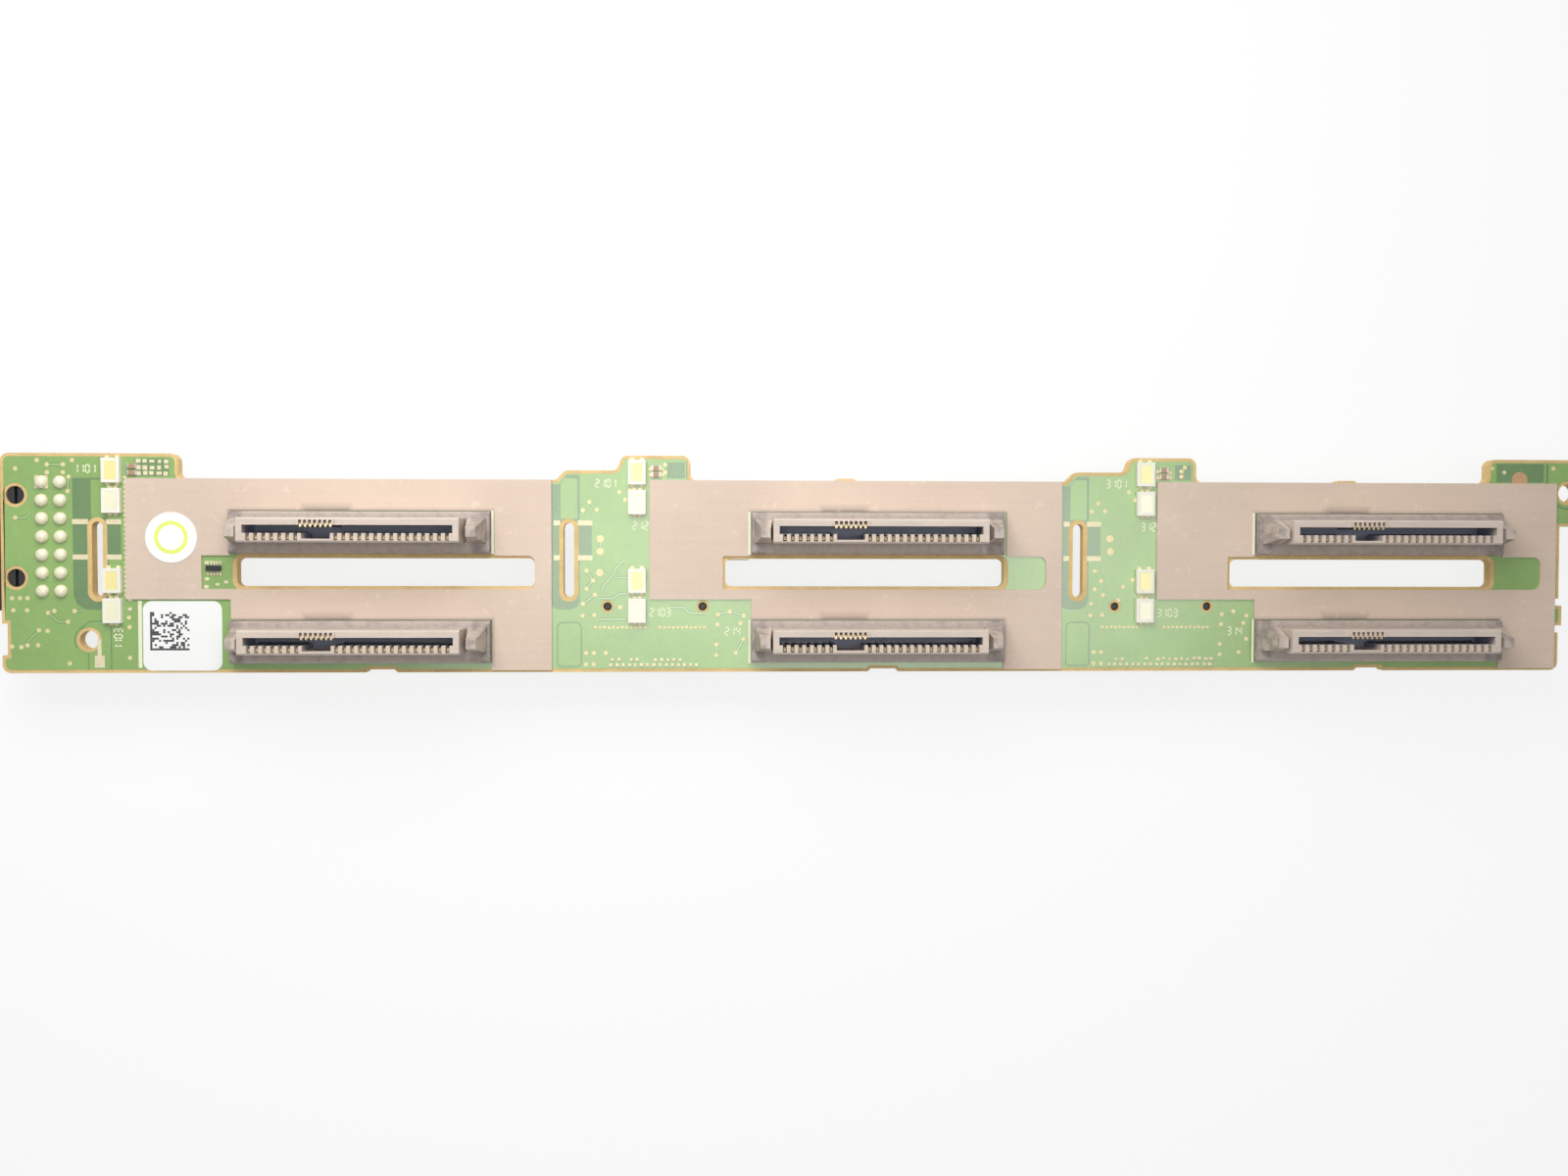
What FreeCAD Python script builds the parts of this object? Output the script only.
import FreeCAD, Part
import math
import os

from FreeCAD import Vector

os.makedirs("parts", exist_ok=True)

# Board blank: lengths run right from its left edge, heights up from its bottom edge
board_t = 2.0
main_height = 32.3
shelf_rise = 1.6
tab_rise = 4.1
right_tab_width = 18.0
end_lug_length = 5.1
end_lug_height = 11.5
outer_round = 1.4
inner_round = 1.05

# Drive bays: three columns of two
column_count = 3
column_pitch = 86.4
first_row = 3.95
row_pitch = 18.2

# Top edge over each column, measured left from the socket's centre
shelf_left = 53.2
shelf_right = 43.8
shelf_slope = 1.4
tab_left = 42.9
tab_right = 31.5
first_tab_right = 29.8

# Snapped break-off marks
bottom_mark_length = 5.2
bottom_mark_depth = 0.5
bottom_mark_first = 62.0
bottom_mark_pitch = 84.2
top_mark_length = 3.6
top_mark_height = 0.35
top_mark_offset = -5.3
side_mark_low = 6.5
side_mark_height = 5.9
side_mark_depth = 1.2
side_stub_height = 3.4
side_stub_reach = 0.6
left_notch_low = 2.9
left_notch_height = 5.3
left_notch_depth = 0.9

# Air slots between the rows of drives
air_slot_width = 4.7
air_slot_drop = 0.75
air_slot_starts = [-20.3, -25.6, -25.5]
air_slot_end_gaps = [5.65, 12.75, 12.2]
air_slot_round = 1.0

# Upright slots that take the hooks of the drive cage
hook_slot_width = 1.75
hook_slot_length = 12.5
hook_slot_low = 12.6
hook_slot_left = 51.85
hook_from_header = 5.9
hook_to_lamp = 2.6

# Round screw holes
screw_hole_r = 1.55
left_screw_x = 14.1
left_screw_y = 5.5
end_screw_inset = 3.9

# Insulating film glued over each column
film_t = 0.4
film_width = 70.0
film_lamp_gap = 0.6
film_edge = 0.8
film_bottom_edge = 0.35
film_gap = 0.15
film_gap_right = 0.6
film_step_drop = 2.15
film_slot_left = 26.0
film_slot_right_margin = 2.7
film_slot_margin = 0.45
film_slot_round = 1.3

# Drive socket housing: u runs right from the socket's centre, v up from its contact line
base_left = 21.1
base_right = 21.6
base_low = 2.3
base_high = 4.75
base_height = 1.9
base_chamfer = 0.35
foot_recess = 0.35
nose_half = 17.75
nose_low = 0.45
nose_high = 3.6
nose_height = 8.3
nose_chamfer = 0.3
cavity_half = 16.75
cavity_low = 1.08
cavity_width = 1.3
cavity_floor = 2.0
tail_slit_reach = 0.25
key_left = 7.35
key_right = 2.75
key_low = 0.15
contact_pitch = 1.27
signal_count = 7
power_count = 15
gap_pitches = 5
slot_width = 0.62
slot_wall = 0.35
fine_count = 7
fine_pitch = 0.8
fine_slot_width = 0.46
fine_slot_depth = 0.8
fine_block_half = 3.05
fine_block_raise = 0.3
fine_block_margin = 0.4

# Guide posts at the ends of each socket
guide_foot_inset = 0.4
guide_foot = 3.1
guide_foot_low = 0.6
guide_foot_high = 3.9
guide_tip = 1.6
guide_tip_low = 0.5
guide_tip_high = 2.1
guide_height = 7.7
guide_tip_inset = 1.3

# Drive socket contacts
contact_width = 0.42
contact_t = 0.22
contact_clear = 0.06
contact_top = 7.6
contact_reach = 0.32
fine_contact_width = 0.3

# Metal board locks under the socket ends
lock_width = 1.3
lock_t = 0.6
lock_clear = 0.1
lock_inset = 2.2
lock_tail = 0.5

# Power header on the rear, its mouth facing the left edge
header_circuit_count = 7
header_pitch = 3.0
header_height = 9.0
header_end_walls = 6.65
header_mouth = 8.92
header_back = 0.99
header_back_gap = 1.0
header_pin_x = 6.7
header_top_pin_y = 31.6
well_side = 2.5
well_depth = 6.6
well_chamfer = 0.7
lower_well_z = 2.3
pin_side = 0.64
pin_fit = 0.01
pin_tail = 0.9
pin_tip_inset = 1.4
cheek_t = 1.6
peg_r = 1.4
peg_hole_r = 1.5
peg_offset = 4.32
peg_from_end_pin = 2.15
peg_slit = 0.5
peg_recess = 0.25
latch_recess = 0.9
latch_width = 7.0
latch_ramp = 1.8
solder_r = 0.95
solder_neck_r = 0.55
solder_height = 0.55

# Data sockets on the rear
data_columns = [1, 2]
data_hook_gap = 1.675
data_y = 11.05
data_height = 9.0
data_peg_span = 16.0
data_peg_r = 0.6
data_peg_hole_r = 0.7
data_base_height = 2.2
data_base_end_gap = 0.5
data_base_side_gap = 0.7
data_stand = 0.22
data_end_wall = 1.0
data_side_wall = 1.2
data_nose_setback = 0.8
data_slot_margin = 1.0
data_slot_width = 2.0
data_floor = 1.2
shell_length = 21.6
shell_width = 7.6
shell_t = 0.3
shell_corner = 0.8
shell_foot_width = 2.4
shell_foot_reach = 1.1
data_contact_count = 18
data_contact_pitch = 0.8
data_contact_width = 0.3
data_contact_t = 0.18
data_contact_top = 6.8
data_contact_wall_gap = 0.12
data_leg_reach = 0.5

# Status lamps beside each drive
lamp_offset = 40.4
lamp_width = 3.0
lamp_length = 4.1
lamp_height = 1.1
lamp_window_margin = 0.55
lamp_window_depth = 0.45
lamp_two_colour_y = 11.4
lamp_single_y = 6.4

# How far a cutter reaches past the face it opens
cut_over = 1.0

# Labels
sticker_r = 4.2
sticker_t = 0.1
sticker_slot_gap = 0.65
sticker_y = 22.5
label_socket_gap = 1.7
label_low = 0.35
label_width = 12.9
label_height = 11.6
label_round = 1.5
label_t = 0.12

# Flat sides that small round posts and collars have
round_side_count = 8

# Chip parts on both faces
chip_size = [1.6, 0.8, 0.55]
terminal_length = 0.35
terminal_lip = 0.03
tab_chip_from_lamp = 3.2
tab_chip_rows = [0.9, 2.0]
rear_chip_count = 4
rear_chip_pitch = 2.0
rear_chip_gap = 0.9
data_chip_count = 2
data_chip_pitch = 4.0
data_chip_gap = 3.7

# Temperature sensor in the window of the left film
sensor_length = 2.4
sensor_width = 0.9
sensor_t = 0.8
sensor_left = 24.0
sensor_lift = 3.0
sensor_lead_count = 5
sensor_pitch = 0.5
sensor_lead_width = 0.24
sensor_lead_t = 0.12
sensor_lead_reach = 0.45
sensor_stand = 0.05

# Controller chip and supply parts on the rear
controller_side = 7.0
controller_t = 1.3
controller_stand = 0.12
controller_trim = 0.25
controller_left = 27.0
controller_y = 24.2
controller_lead_count = 8
lead_pitch = 0.8
lead_width = 0.35
lead_t = 0.15
lead_reach = 1.0
lead_exit = 0.65
choke_side = 6.2
choke_height = 3.0
choke_round = 1.2
choke_left = 9.1
choke_y = 26.2
fuse_size = [4.5, 3.2, 0.9]
fuse_left = 30.1
fuse_low_y = 19.0
fuse_pitch = 4.6
fuse_count = 2
tantalum_size = [3.5, 2.8, 1.9]
tantalum_left = 6.6
tantalum_y = 6.5
tantalum_pitch = 4.4
tantalum_count = 3
tantalum_draft = 0.12

# Places that follow from the sizes above
front_z = 0.0
rear_z = -board_t
shelf_height = main_height + shelf_rise
tab_height = main_height + tab_rise
lug_low = tab_height - end_lug_height
header_front_x = header_pin_x - header_mouth
floor_z = rear_z - max(header_height, data_height)
first_hook_slot = header_pin_x + header_pitch + hook_from_header
columns = [first_hook_slot + hook_to_lamp + lamp_offset + column_pitch * i for i in range(column_count)]
hook_slots = [first_hook_slot] + [x - hook_slot_left for x in columns[1:]]
rows = [first_row, first_row + row_pitch]
film_left = lamp_offset - lamp_width / 2 - film_lamp_gap
film_right = film_width - film_left
right_edge = columns[-1] + film_right + film_edge
board_length = right_edge + end_lug_length
air_slot_low = rows[1] - base_low - air_slot_drop - air_slot_width
air_slot_ends = [x - gap for x, gap in zip(hook_slots[1:] + [right_edge], air_slot_end_gaps)]
row_names = ["lower", "upper"]
column_names = ["left", "middle", "right"]
contact_half = contact_pitch * (signal_count + power_count + gap_pitches - 2) / 2
signal_places = [contact_pitch * i - contact_half for i in range(signal_count)]
power_start = contact_pitch * (signal_count - 1 + gap_pitches) - contact_half
power_places = [power_start + contact_pitch * i for i in range(power_count)]
fine_centre = (signal_places[-1] + power_places[0]) / 2
fine_start = fine_centre - fine_pitch * (fine_count - 1) / 2
fine_places = [fine_start + fine_pitch * i for i in range(fine_count)]
cavity_high = cavity_low + cavity_width
slot_low = -nose_low + slot_wall
header_rows = [header_top_pin_y - header_pitch * i for i in range(header_circuit_count)]
header_mid_y = (header_rows[0] + header_rows[-1]) / 2
header_length = header_rows[0] - header_rows[-1] + header_end_walls
peg_rows = [header_rows[0] - peg_from_end_pin, header_rows[-1] + peg_from_end_pin]
upper_well_z = lower_well_z + header_pitch
data_reach = shell_length / 2 + shell_foot_reach
data_slot_length = data_contact_pitch * data_contact_count + data_slot_margin
data_nose_length = data_slot_length + 2 * data_end_wall
data_nose_width = data_slot_width + 2 * data_side_wall
data_base_length = shell_length - 2 * (shell_t + data_base_end_gap)
data_base_width = shell_width - 2 * (shell_t + data_base_side_gap)
data_xs = [hook_slots[i] + hook_slot_width / 2 + data_hook_gap + data_reach for i in data_columns]
sticker_x = columns[0] - film_slot_left - sticker_slot_gap - sticker_r
label_left = columns[0] - base_left - label_socket_gap - label_width
frame_shift = Vector(-(board_length + min(header_front_x, 0.0)) / 2, -tab_height / 2, -floor_z)


def block(x0, x1, y0, y1, z0, z1):
    """A box between two corners."""
    return Part.makeBox(x1 - x0, y1 - y0, z1 - z0, Vector(x0, y0, z0))


def hole(half_x, half_y, x, y):
    """A rectangular cutter right through the board."""
    return block(x - half_x, x + half_x, y - half_y, y + half_y, rear_z - cut_over, front_z + cut_over)


def rod(r, x, y, z0, z1):
    """An upright round bar."""
    return Part.makeCylinder(r, z1 - z0, Vector(x, y, z0))


def outline_wire(corners, z):
    """A closed wire through corners (x, y, radius), with tangent arcs where the radius isn't 0."""
    edges = []
    ends = []
    count = len(corners)
    for i in range(count):
        x, y, r = corners[i]
        here = Vector(x, y, z)
        if r == 0:
            ends.append((here, here, None))
            continue
        before = Vector(corners[i - 1][0], corners[i - 1][1], z) - here
        after = Vector(corners[(i + 1) % count][0], corners[(i + 1) % count][1], z) - here
        before.normalize()
        after.normalize()
        half = before.getAngle(after) / 2
        middle = before + after
        middle.normalize()
        centre = here + middle * (r / math.sin(half))
        run = r / math.tan(half)
        ends.append((here + before * run, here + after * run, centre - middle * r))
    for i in range(count):
        start, finish, arc_middle = ends[i]
        if arc_middle is not None:
            edges.append(Part.Arc(start, arc_middle, finish).toShape())
        following = ends[(i + 1) % count][0]
        if following.distanceToPoint(finish) > 1e-6:
            edges.append(Part.LineSegment(finish, following).toShape())
    return Part.Wire(edges)


def plate(corners, z0, z1):
    """A flat plate with the given outline."""
    return Part.Face(outline_wire(corners, z0)).extrude(Vector(0, 0, z1 - z0))


def rectangle(x0, x1, y0, y1, r=0):
    """The four corners of a rectangle with one corner radius."""
    return [(x0, y0, r), (x1, y0, r), (x1, y1, r), (x0, y1, r)]


def flat_sided(r0, r1, x, y, z0, z1):
    """A small round post or collar with flat sides, r0 across its corners at the foot and r1 at the head."""
    turns = [2 * math.pi * (i + 0.5) / round_side_count for i in range(round_side_count)]
    foot = [Vector(x + r0 * math.cos(a), y + r0 * math.sin(a), z0) for a in turns]
    head = [Vector(x + r1 * math.cos(a), y + r1 * math.sin(a), z1) for a in turns]
    rings = [foot, head]
    for i in range(round_side_count):
        rings.append([foot[i - 1], foot[i], head[i], head[i - 1]])
    return Part.makeSolid(Part.makeShell([Part.Face(Part.makePolygon(ring + ring[:1])) for ring in rings]))


def cut_rectangle(half_x, half_y, cut):
    """The eight corners of a centred rectangle with its corners cut off at 45 degrees."""
    corners = []
    for x, y in ((-half_x, -half_y), (half_x, -half_y), (half_x, half_y), (-half_x, half_y)):
        step_x = (x - math.copysign(cut, x), y, 0)
        step_y = (x, y - math.copysign(cut, y), 0)
        corners += [step_y, step_x] if x * y > 0 else [step_x, step_y]
    return corners


def side_profile(points, x0, x1):
    """A bar along X whose section is a list of (y, z) points."""
    wire = Part.makePolygon([Vector(x0, y, z) for y, z in points + points[:1]])
    return Part.Face(wire).extrude(Vector(x1 - x0, 0, 0))


def front_profile(points, y0, y1):
    """A bar along Y whose section is a list of (x, z) points."""
    wire = Part.makePolygon([Vector(x, y0, z) for x, z in points + points[:1]])
    return Part.Face(wire).extrude(Vector(0, y1 - y0, 0))


def tapered(lower, upper, z0, z1):
    """A flat-sided taper between two rectangles (x0, x1, y0, y1)."""
    x0, x1, y0, y1 = lower
    u0, u1, v0, v1 = upper
    wedge = Part.makeWedge(x0, 0, -y1, -v1, u0, x1, z1 - z0, -y0, -v0, u1)
    wedge.rotate(Vector(0, 0, 0), Vector(1, 0, 0), 90)
    return moved(wedge, 0, 0, z0)


def spread(count, pitch):
    """Places of a row of equal steps, centred on 0."""
    return [pitch * (i - (count - 1) / 2) for i in range(count)]


def moved(shape, x, y, z=0.0):
    """A copy set at a place."""
    copy = shape.copy()
    copy.translate(Vector(x, y, z))
    return copy


def turned_over(shape):
    """A copy turned over end for end, so that what stood on the front stands on the rear."""
    copy = shape.copy()
    copy.rotate(Vector(0, 0, 0), Vector(0, 1, 0), 180)
    return copy


def save(name, solids):
    """Write one node, in the frame whose origin is under the middle of the whole part."""
    shape = solids[0] if len(solids) == 1 else Part.makeCompound(solids)
    moved(shape, frame_shift.x, frame_shift.y, frame_shift.z).exportStep("parts/" + name + ".step")


# Circuit board
def board_outline():
    """The blank's outline, anticlockwise from the bottom left corner."""
    mark_half = bottom_mark_length / 2
    corners = [(0, 0, outer_round)]
    for i in range(column_count):
        x = bottom_mark_first + bottom_mark_pitch * i
        corners += [(x - mark_half, 0, 0), (x - mark_half + bottom_mark_depth, bottom_mark_depth, 0)]
        corners += [(x + mark_half - bottom_mark_depth, bottom_mark_depth, 0), (x + mark_half, 0, 0)]
    stub_low = side_mark_low + (side_mark_height - side_stub_height) / 2
    stub_high = stub_low + side_stub_height
    side_mark_high = side_mark_low + side_mark_height
    notch_x = right_edge - side_mark_depth
    stub_x = right_edge + side_stub_reach
    corners += [(right_edge, 0, outer_round), (right_edge, side_mark_low, 0)]
    corners += [(notch_x, side_mark_low, 0), (notch_x, stub_low, 0), (stub_x, stub_low, 0)]
    corners += [(stub_x, stub_high, 0), (notch_x, stub_high, 0), (notch_x, side_mark_high, 0)]
    corners += [(right_edge, side_mark_high, 0), (right_edge, lug_low, 0)]
    corners += [(board_length, lug_low, outer_round), (board_length, tab_height, outer_round)]
    tab_x = board_length - right_tab_width
    corners += [(tab_x, tab_height, outer_round), (tab_x, main_height, inner_round)]
    for x in reversed(columns[1:]):
        corners += top_mark(x)
        corners += [(x - tab_right, main_height, inner_round), (x - tab_right, tab_height, outer_round)]
        corners += [(x - tab_left, tab_height, outer_round), (x - shelf_right, shelf_height, inner_round)]
        corners += [(x - shelf_left + shelf_slope / 2, shelf_height, outer_round)]
        corners += [(x - shelf_left - shelf_slope / 2, main_height, inner_round)]
    left_tab = columns[0] - first_tab_right
    corners += [(left_tab, main_height, inner_round), (left_tab, tab_height, outer_round)]
    corners += [(0, tab_height, outer_round)]
    notch_high = left_notch_low + left_notch_height
    corners += [(0, notch_high, 0), (left_notch_depth, notch_high, 0)]
    corners += [(left_notch_depth, left_notch_low, 0), (0, left_notch_low, 0)]
    return corners


def top_mark(x):
    """The low stub that a snapped tab leaves on the top edge, right to left."""
    start = x + top_mark_offset - top_mark_length / 2
    finish = start + top_mark_length
    high = main_height + top_mark_height
    shoulder = top_mark_height
    return [(finish, main_height, 0), (finish - shoulder, high, 0), (start + shoulder, high, 0),
            (start, main_height, 0)]


def circuit_board():
    board = plate(board_outline(), rear_z, front_z)
    cutters = []
    for x, start, finish in zip(columns, air_slot_starts, air_slot_ends):
        sides = rectangle(x + start, finish, air_slot_low, air_slot_low + air_slot_width, air_slot_round)
        cutters.append(plate(sides, rear_z - cut_over, front_z + cut_over))
    for x in hook_slots:
        cutters.append(hook_slot(x))
    for r, x, y in round_holes():
        cutters.append(rod(r, x, y, rear_z - cut_over, front_z + cut_over))
    pin_half = pin_side / 2 + pin_fit
    for x, y in solder_places():
        cutters.append(hole(pin_half, pin_half, x, y))
    for x, y in socket_places():
        cutters += [hole(lock_width / 2 + lock_clear, lock_t / 2 + lock_clear, x + u, y + lock_v())
                    for u in lock_us()]
    return board.cut(cutters)


def hook_slot(x):
    """A slot with half-round ends."""
    half = hook_slot_width / 2
    low = hook_slot_low + half
    high = hook_slot_low + hook_slot_length - half
    middle = block(x - half, x + half, low, high, rear_z - cut_over, front_z + cut_over)
    ends = [rod(half, x, y, rear_z - cut_over, front_z + cut_over) for y in (low, high)]
    return middle.fuse(ends).removeSplitter()


def round_holes():
    """Radius and place of every round hole."""
    holes = [(screw_hole_r, left_screw_x, left_screw_y)]
    holes.append((screw_hole_r, board_length - end_screw_inset, lug_low + end_lug_height / 2))
    holes += [(peg_hole_r, header_pin_x - peg_offset, y) for y in peg_rows]
    for x in data_xs:
        holes += [(data_peg_hole_r, x + side * data_peg_span / 2, data_y) for side in (-1, 1)]
    return holes


# Insulating film
def insulator_film(x):
    """One film: a sheet with a window for the upper socket and air slot and a notch for the lower one."""
    left = x - film_left
    right = x + film_right
    step = air_slot_low - film_step_drop
    window_left = x - base_left - film_gap
    notch_right = x + base_right + film_gap
    lower_high = rows[0] + base_high + film_gap
    outline = [(window_left, lower_high, 0), (notch_right, lower_high, 0), (notch_right, film_bottom_edge, 0)]
    outline += [(right, film_bottom_edge, 0), (right, main_height, 0)]
    outline += [(left, main_height, 0), (left, step, 0)]
    outline += [(window_left, step, 0)]
    sheet = plate(outline, front_z, front_z + film_t)
    slot_floor = air_slot_low - film_slot_margin
    slot_top = air_slot_low + air_slot_width + film_slot_margin
    window_high = rows[1] + base_high + film_gap
    over = front_z + film_t
    slot_left = x - film_slot_left
    slot_right = right - film_slot_right_margin
    slot_sides = [(slot_left, slot_floor, 0), (slot_right, slot_floor, film_slot_round)]
    slot_sides += [(slot_right, slot_top, film_slot_round), (slot_left, slot_top, 0)]
    slot_window = plate(slot_sides, front_z, over)
    window_right = x + base_right + film_gap_right
    socket_window = block(window_left, window_right, slot_top - film_slot_round, window_high, front_z, over)
    return sheet.cut([slot_window, socket_window])


# Drive sockets
def socket_places():
    return [(x, y) for y in rows for x in columns]


def socket_housing():
    """The moulded housing: flanged base, slotted nose and two tapering guide posts."""
    base = side_profile([(-base_low, 0), (base_high, 0), (base_high, base_height - base_chamfer),
                         (base_high - base_chamfer, base_height), (-base_low + base_chamfer, base_height),
                         (-base_low, base_height - base_chamfer)], -base_left, base_right)
    nose = side_profile([(-nose_low, base_height - base_chamfer), (nose_high, base_height - base_chamfer),
                         (nose_high, nose_height - nose_chamfer), (nose_high - nose_chamfer, nose_height),
                         (-nose_low + nose_chamfer, nose_height), (-nose_low, nose_height - nose_chamfer)],
                        -nose_half, nose_half)
    block_high = nose_height + fine_block_raise
    raised = block(fine_centre - fine_block_half, fine_centre + fine_block_half,
                   cavity_high - fine_block_margin, nose_high - nose_chamfer,
                   nose_height - nose_chamfer, block_high)
    body = base.fuse([nose, raised, guide_post(-1), guide_post(1)]).removeSplitter()
    over = block_high + cut_over
    fine_high = cavity_high + fine_slot_depth
    cutters = [block(-cavity_half, cavity_half, cavity_low, cavity_high, cavity_floor, over)]
    cutters.append(block(-key_left, -key_right, key_low, cavity_low, cavity_floor, over))
    under = front_z - cut_over
    cutters.append(block(-nose_half, nose_half, -base_low - cut_over, key_low, under, foot_recess))
    half = slot_width / 2
    for u in signal_places + power_places:
        cutters.append(block(u - half, u + half, slot_low, cavity_low, cavity_floor, over))
    for places in (signal_places, power_places):
        cutters.append(block(places[0] - half, places[-1] + half, slot_low, cavity_low + tail_slit_reach,
                             front_z - cut_over, cavity_floor))
    half = fine_slot_width / 2
    for u in fine_places:
        cutters.append(block(u - half, u + half, cavity_high, fine_high, cavity_floor, over))
    cutters.append(block(fine_places[0] - half, fine_places[-1] + half, cavity_high - tail_slit_reach,
                         fine_high, front_z - cut_over, cavity_floor))
    return body.cut(cutters)


def guide_post(side):
    """A post that tapers from the base's end to a small square tip."""
    end = base_right if side > 0 else base_left
    outer = end - guide_foot_inset
    foot = (outer - guide_foot, outer)
    tip = (end - guide_tip_inset - guide_tip, end - guide_tip_inset)
    if side < 0:
        foot = (-foot[1], -foot[0])
        tip = (-tip[1], -tip[0])
    return tapered(foot + (-guide_foot_low, guide_foot_high), tip + (guide_tip_low, guide_tip_high),
                   base_height - base_chamfer, guide_height)


def contact_blade(u):
    """A spring blade that stands in its slot and leans into the cavity."""
    back = slot_low + contact_clear
    reach = cavity_low + contact_reach
    section = [(back, front_z), (back + contact_t, front_z)]
    section += [(reach, contact_top), (reach - contact_t, contact_top)]
    half = contact_width / 2
    return side_profile(section, u - half, u + half)


def fine_blade(u):
    """A narrow blade in the upper wall, facing the others."""
    back = cavity_high + fine_slot_depth - contact_clear
    reach = cavity_high - contact_reach
    section = [(back, front_z), (back - contact_t, front_z)]
    section += [(reach, contact_top), (reach + contact_t, contact_top)]
    half = fine_contact_width / 2
    return side_profile(section, u - half, u + half)


def socket_contacts():
    return [contact_blade(u) for u in signal_places + power_places] + [fine_blade(u) for u in fine_places]


def lock_us():
    return [-base_left + lock_inset, base_right - lock_inset]


def lock_v():
    return (base_high - base_low) / 2


def board_lock():
    """A flat metal tail under the socket's end, through its slot in the board."""
    half_x = lock_width / 2
    half_y = lock_t / 2
    return block(-half_x, half_x, -half_y, half_y, rear_z - lock_tail, front_z)


# Power header
def power_header_housing():
    """The rear header: two rows of square wells open to the left, split pegs into the board."""
    low_y = header_mid_y - header_length / 2
    high_y = low_y + header_length
    top = rear_z
    bottom = rear_z - header_height
    back_x = header_pin_x - header_back_gap
    body = block(header_front_x, back_x, low_y, high_y, bottom, top)
    cheeks = [block(back_x, header_pin_x + header_back, low_y, low_y + cheek_t, bottom, top),
              block(back_x, header_pin_x + header_back, high_y - cheek_t, high_y, bottom, top)]
    pegs = [rod(peg_r, header_pin_x - peg_offset, y, rear_z, front_z - peg_recess) for y in peg_rows]
    housing = body.fuse(cheeks + pegs).removeSplitter()
    cutters = []
    peg_x = header_pin_x - peg_offset
    half = peg_slit / 2
    reach = peg_r + cut_over
    for y in peg_rows:
        cutters.append(block(peg_x - half, peg_x + half, y - reach, y + reach, rear_z + peg_slit, front_z))
    for y in header_rows:
        for drop in (lower_well_z, upper_well_z):
            cutters.append(header_well(y, rear_z - drop))
            cutters.append(pin_channel(y, rear_z - drop))
    latch_half = latch_width / 2
    cutters.append(block(header_front_x, back_x - latch_ramp, header_mid_y - latch_half,
                         header_mid_y + latch_half, bottom, bottom + latch_recess))
    ramp = front_profile([(header_front_x, bottom + latch_recess), (header_front_x + latch_ramp,
                          bottom + latch_recess / 3), (header_front_x + latch_ramp, bottom + latch_recess)],
                         header_mid_y - latch_half / 2, header_mid_y + latch_half / 2)
    return housing.cut(cutters).fuse(ramp)


def header_well(y, z):
    """One well. Those beside the board are square, and the outer ones have two cut corners as a key."""
    half = well_side / 2
    if z > rear_z - upper_well_z:
        start = header_front_x - cut_over
        return block(start, header_front_x + well_depth, y - half, y + half, z - half, z + half)
    corner = half - well_chamfer
    section = [(y - half, z - half), (y + half, z - half), (y + half, z + corner), (y + corner, z + half),
               (y - corner, z + half), (y - half, z + corner)]
    return side_profile(section, header_front_x - cut_over, header_front_x + well_depth)


def pin_channel(y, z):
    half = pin_side / 2 + pin_fit
    return block(header_front_x, header_pin_x + header_back, y - half, y + half, z - half, z + half)


def header_pin(y, drop, x):
    """A square pin from the well to the board, bent once through a right angle."""
    half = pin_side / 2
    z = rear_z - drop
    start = header_front_x + pin_tip_inset
    top = front_z + pin_tail
    section = [(start, z - half), (x + half, z - half), (x + half, top), (x - half, top), (x - half, z + half),
               (start, z + half)]
    return front_profile(section, y - half, y + half)


def header_pins():
    pins = []
    for y in header_rows:
        pins.append(header_pin(y, lower_well_z, header_pin_x))
        pins.append(header_pin(y, upper_well_z, header_pin_x + header_pitch))
    return pins


def solder_places():
    return [(header_pin_x + step, y) for y in header_rows for step in (0, header_pitch)]


def solder_joint(x, y):
    """A tapering collar of solder round a square pin on the front face."""
    collar = flat_sided(solder_r, solder_neck_r, x, y, front_z, front_z + solder_height)
    half = pin_side / 2
    return collar.cut(block(x - half, x + half, y - half, y + half, front_z - cut_over, front_z + pin_tail))


# Data sockets, built with the board's rear face at z 0 and the mouth upwards, then turned over
def data_housing():
    """The insulator: a base on two pegs and a nose with one long card slot."""
    base = block(-data_base_length / 2, data_base_length / 2, -data_base_width / 2, data_base_width / 2,
                 data_stand, data_base_height)
    nose = block(-data_nose_length / 2, data_nose_length / 2, -data_nose_width / 2, data_nose_width / 2,
                 data_stand, data_height - data_nose_setback)
    pegs = [flat_sided(data_peg_r, data_peg_r, side * data_peg_span / 2, 0, -board_t + peg_recess, data_stand)
            for side in (-1, 1)]
    body = base.fuse([nose] + pegs).removeSplitter()
    slot = block(-data_slot_length / 2, data_slot_length / 2, -data_slot_width / 2, data_slot_width / 2,
                 data_floor, data_height)
    row_half = data_contact_pitch * data_contact_count / 2
    leg_slit = block(-row_half, row_half, -data_slot_width / 2, data_slot_width / 2, 0, data_floor)
    return body.cut([slot, leg_slit])


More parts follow.
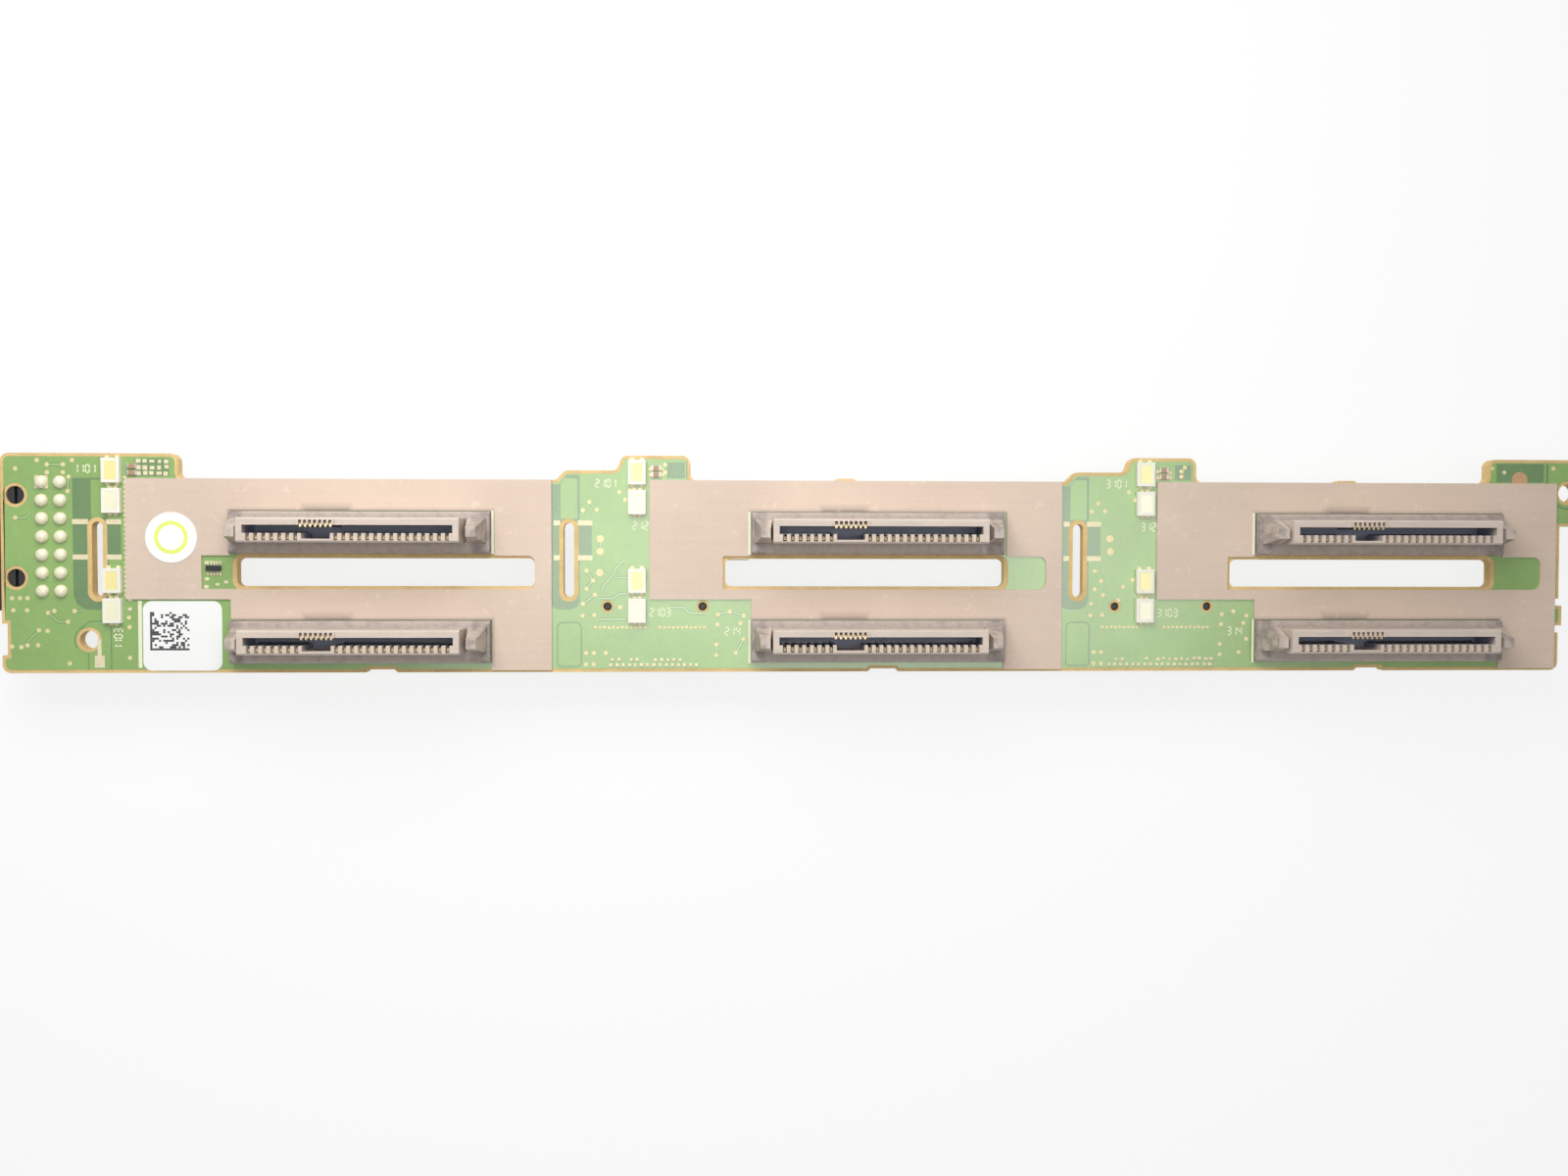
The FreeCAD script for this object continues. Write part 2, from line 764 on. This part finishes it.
def data_shell():
    """A drawn steel shell round the insulator, with four feet soldered to the board."""
    half_x = shell_length / 2
    half_y = shell_width / 2
    outer = plate(cut_rectangle(half_x, half_y, shell_corner), data_stand, data_height)
    inner_corner = shell_corner - shell_t * (2 - math.sqrt(2))
    inner = plate(cut_rectangle(half_x - shell_t, half_y - shell_t, inner_corner), data_stand, data_height)
    shell = outer.cut(inner)
    tail_half = data_contact_pitch * data_contact_count / 2
    arch = block(-tail_half, tail_half, -half_y - cut_over, half_y + cut_over, data_stand, data_base_height)
    shell = shell.cut(arch)
    feet = []
    for side in (-1, 1):
        inner_x = side * (half_x - shell_t)
        outer_x = side * (half_x + shell_foot_reach)
        for v in (-1, 1):
            y = v * (half_y - shell_corner - shell_foot_width / 2)
            x0 = min(inner_x, outer_x)
            x1 = max(inner_x, outer_x)
            feet.append(block(x0, x1, y - shell_foot_width / 2, y + shell_foot_width / 2, 0, shell_t))
    return shell.fuse(feet)


def data_contact(u, side):
    """A contact: a leg from the board up one wall of the slot, leaning into it."""
    half = data_contact_width / 2
    wall = data_slot_width / 2 - data_contact_wall_gap
    top = wall - data_leg_reach
    section = [(side * wall, 0), (side * wall - side * data_contact_t, 0), (side * (top - data_contact_t),
               data_contact_top), (side * top, data_contact_top)]
    return side_profile(section, u - half, u + half)


def data_contacts():
    return [data_contact(u, side) for u in spread(data_contact_count, data_contact_pitch) for side in (-1, 1)]


def on_rear(shape, x, y):
    """Set a shape that stands on z 0 against the rear face, pointing away from the board."""
    return moved(turned_over(shape), x, y, rear_z)


# Status lamps
def lamp_body():
    """A lamp's moulded body with a window sunk in its top."""
    half_x = lamp_width / 2
    half_y = lamp_length / 2
    return block(-half_x, half_x, -half_y, half_y, 0, lamp_height).cut(lamp_lens())


def lamp_lens():
    """The clear resin that fills the window."""
    half_x = lamp_width / 2 - lamp_window_margin
    half_y = lamp_length / 2 - lamp_window_margin
    slope = lamp_window_depth / 2
    return tapered((-half_x + slope, half_x - slope, -half_y + slope, half_y - slope),
                   (-half_x, half_x, -half_y, half_y), lamp_height - lamp_window_depth, lamp_height)


def lamp_places(x, lift):
    return [(x - lamp_offset, y + lift) for y in rows]


# Chip parts
def chip(x, y, upright):
    """A chip part: its body, and the two plated ends that stand a little proud of it."""
    length, width, height = chip_size
    end = terminal_length
    half = length / 2
    side = width / 2
    core = block(-half + end, half - end, -side, side, terminal_lip, height)
    ends = [block(sign * half - (end if sign > 0 else 0), sign * half + (end if sign < 0 else 0),
                  -side - terminal_lip, side + terminal_lip, 0, height + terminal_lip) for sign in (-1, 1)]
    pieces = [core] + ends
    if upright:
        for piece in pieces:
            piece.rotate(Vector(0, 0, 0), Vector(0, 0, 1), 90)
    return [moved(piece, x, y) for piece in pieces]


def chip_groups(places):
    """Bodies and plated ends of many chips, kept apart."""
    bodies = []
    ends = []
    for x, y, upright in places:
        pieces = chip(x, y, upright)
        bodies.append(pieces[0])
        ends += pieces[1:]
    return bodies, ends


def front_chip_places():
    """Chips on the front face: two on the tab beside each upper lamp."""
    return [(x - lamp_offset + tab_chip_from_lamp, main_height + rise, False)
            for x in columns for rise in tab_chip_rows]


def rear_chip_places():
    """Chips on the rear face: a row above the controller and one above each data socket."""
    over_controller = controller_y + controller_side / 2 + lead_reach + rear_chip_gap + chip_size[0] / 2
    over_data = data_y + shell_width / 2 + data_chip_gap
    steps = spread(rear_chip_count, rear_chip_pitch)
    places = [(controller_x() + step, over_controller, True) for step in steps]
    for x in data_xs:
        places += [(x + step, over_data, False) for step in spread(data_chip_count, data_chip_pitch)]
    return places


# Temperature sensor
def sensor_body():
    """The sensor's case, lifted a little on its leads."""
    half_x = sensor_length / 2
    half_y = sensor_width / 2
    return block(-half_x, half_x, -half_y, half_y, sensor_stand, sensor_t)


def sensor_lead_set():
    """Short flat leads along both sides of the sensor."""
    leads = []
    half = sensor_lead_width / 2
    near = sensor_width / 2
    far = near + sensor_lead_reach
    for u in spread(sensor_lead_count, sensor_pitch):
        leads.append(block(u - half, u + half, near, far, 0, sensor_lead_t))
        leads.append(block(u - half, u + half, -far, -near, 0, sensor_lead_t))
    return leads


# Rear chips
def controller_x():
    return columns[1] - controller_left


def controller_body():
    """The controller's case, widest halfway up where its two moulded halves meet."""
    half = controller_side / 2
    trim = controller_trim
    middle = controller_stand + controller_t / 2
    top = controller_stand + controller_t
    lower = tapered((-half + trim, half - trim, -half + trim, half - trim), (-half, half, -half, half),
                    controller_stand, middle)
    upper = tapered((-half, half, -half, half), (-half + trim, half - trim, -half + trim, half - trim),
                    middle, top)
    return lower.fuse(upper).removeSplitter()


def controller_lead_set():
    """Leads that slope down to the board on four sides."""
    half = controller_side / 2
    tail = half + lead_reach
    leads = []
    section = [(half, lead_exit), (tail - lead_t, 0), (tail, 0), (half, lead_exit + lead_t)]
    for turn in range(4):
        for u in spread(controller_lead_count, lead_pitch):
            lead = side_profile(section, u - lead_width / 2, u + lead_width / 2)
            lead.rotate(Vector(0, 0, 0), Vector(0, 0, 1), 90 * turn)
            leads.append(lead)
    return leads


def choke():
    half = choke_side / 2
    return plate(rectangle(-half, half, -half, half, choke_round), 0, choke_height)


def fuse_body():
    length, width, height = fuse_size
    return block(-length / 2, length / 2, -width / 2, width / 2, 0, height)


def tantalum():
    length, width, height = tantalum_size
    lower = (-length / 2, length / 2, -width / 2, width / 2)
    upper = (-length / 2 + tantalum_draft, length / 2 - tantalum_draft, -width / 2 + tantalum_draft,
             width / 2 - tantalum_draft)
    return tapered(lower, upper, 0, height)


# Labels
def round_sticker():
    low = front_z + film_t
    return rod(sticker_r, sticker_x, sticker_y, low, low + sticker_t)


def code_label():
    sides = rectangle(label_left, label_left + label_width, label_low, label_low + label_height, label_round)
    return plate(sides, front_z, front_z + label_t)


def build():
    save("circuit_board", [circuit_board()])
    housing = socket_housing()
    contacts = socket_contacts()
    for x, column in zip(columns, column_names):
        save("insulator_film_" + column, [insulator_film(x)])
        for y, row in zip(rows, row_names):
            where = row + "_" + column
            save("drive_socket_housing_" + where, [moved(housing, x, y)])
            save("drive_socket_contacts_" + where, [moved(blade, x, y) for blade in contacts])
        for kind, lift in (("two_colour", lamp_two_colour_y), ("single", lamp_single_y)):
            places = lamp_places(x, lift)
            save("lamp_body_" + kind + "_" + column, [moved(lamp_body(), px, py) for px, py in places])
            save("lamp_lens_" + kind + "_" + column, [moved(lamp_lens(), px, py) for px, py in places])
    locks = [moved(board_lock(), x + u, y + lock_v()) for x, y in socket_places() for u in lock_us()]
    save("socket_board_locks", locks)
    save("power_header_housing", [power_header_housing()])
    save("power_header_pins", header_pins())
    save("power_header_solder", [solder_joint(x, y) for x, y in solder_places()])
    for x, side in zip(data_xs, ("left", "right")):
        save("data_socket_housing_" + side, [on_rear(data_housing(), x, data_y)])
        save("data_socket_shell_" + side, [on_rear(data_shell(), x, data_y)])
        save("data_socket_contacts_" + side, [on_rear(piece, x, data_y) for piece in data_contacts()])
    bodies, ends = chip_groups(front_chip_places())
    save("front_chip_bodies", bodies)
    save("front_chip_ends", ends)
    bodies, ends = chip_groups(rear_chip_places())
    save("rear_chip_bodies", [on_rear(piece, 0, 0) for piece in mirror_x(bodies)])
    save("rear_chip_ends", [on_rear(piece, 0, 0) for piece in mirror_x(ends)])
    save("controller_chip", [on_rear(controller_body(), controller_x(), controller_y)])
    save("controller_leads", [on_rear(lead, controller_x(), controller_y) for lead in controller_lead_set()])
    save("power_choke", [on_rear(choke(), columns[0] - choke_left, choke_y)])
    fuse_x = columns[0] - fuse_left
    fuse_ys = [fuse_low_y + fuse_pitch * i for i in range(fuse_count)]
    save("supply_fuses", [on_rear(fuse_body(), fuse_x, y) for y in fuse_ys])
    tantalum_x = columns[0] - tantalum_left
    save("bulk_capacitors", [on_rear(tantalum(), tantalum_x + tantalum_pitch * i, tantalum_y)
                             for i in range(tantalum_count)])
    sensor_x = columns[0] - sensor_left
    sensor_y = air_slot_low + sensor_lift
    save("sensor_chip", [moved(sensor_body(), sensor_x, sensor_y)])
    save("sensor_leads", [moved(lead, sensor_x, sensor_y) for lead in sensor_lead_set()])
    save("round_sticker", [round_sticker()])
    save("code_label", [code_label()])


def mirror_x(pieces):
    """Copies mirrored in X, so that turning them over brings them back to their places."""
    return [piece.mirror(Vector(0, 0, 0), Vector(1, 0, 0)) for piece in pieces]


build()
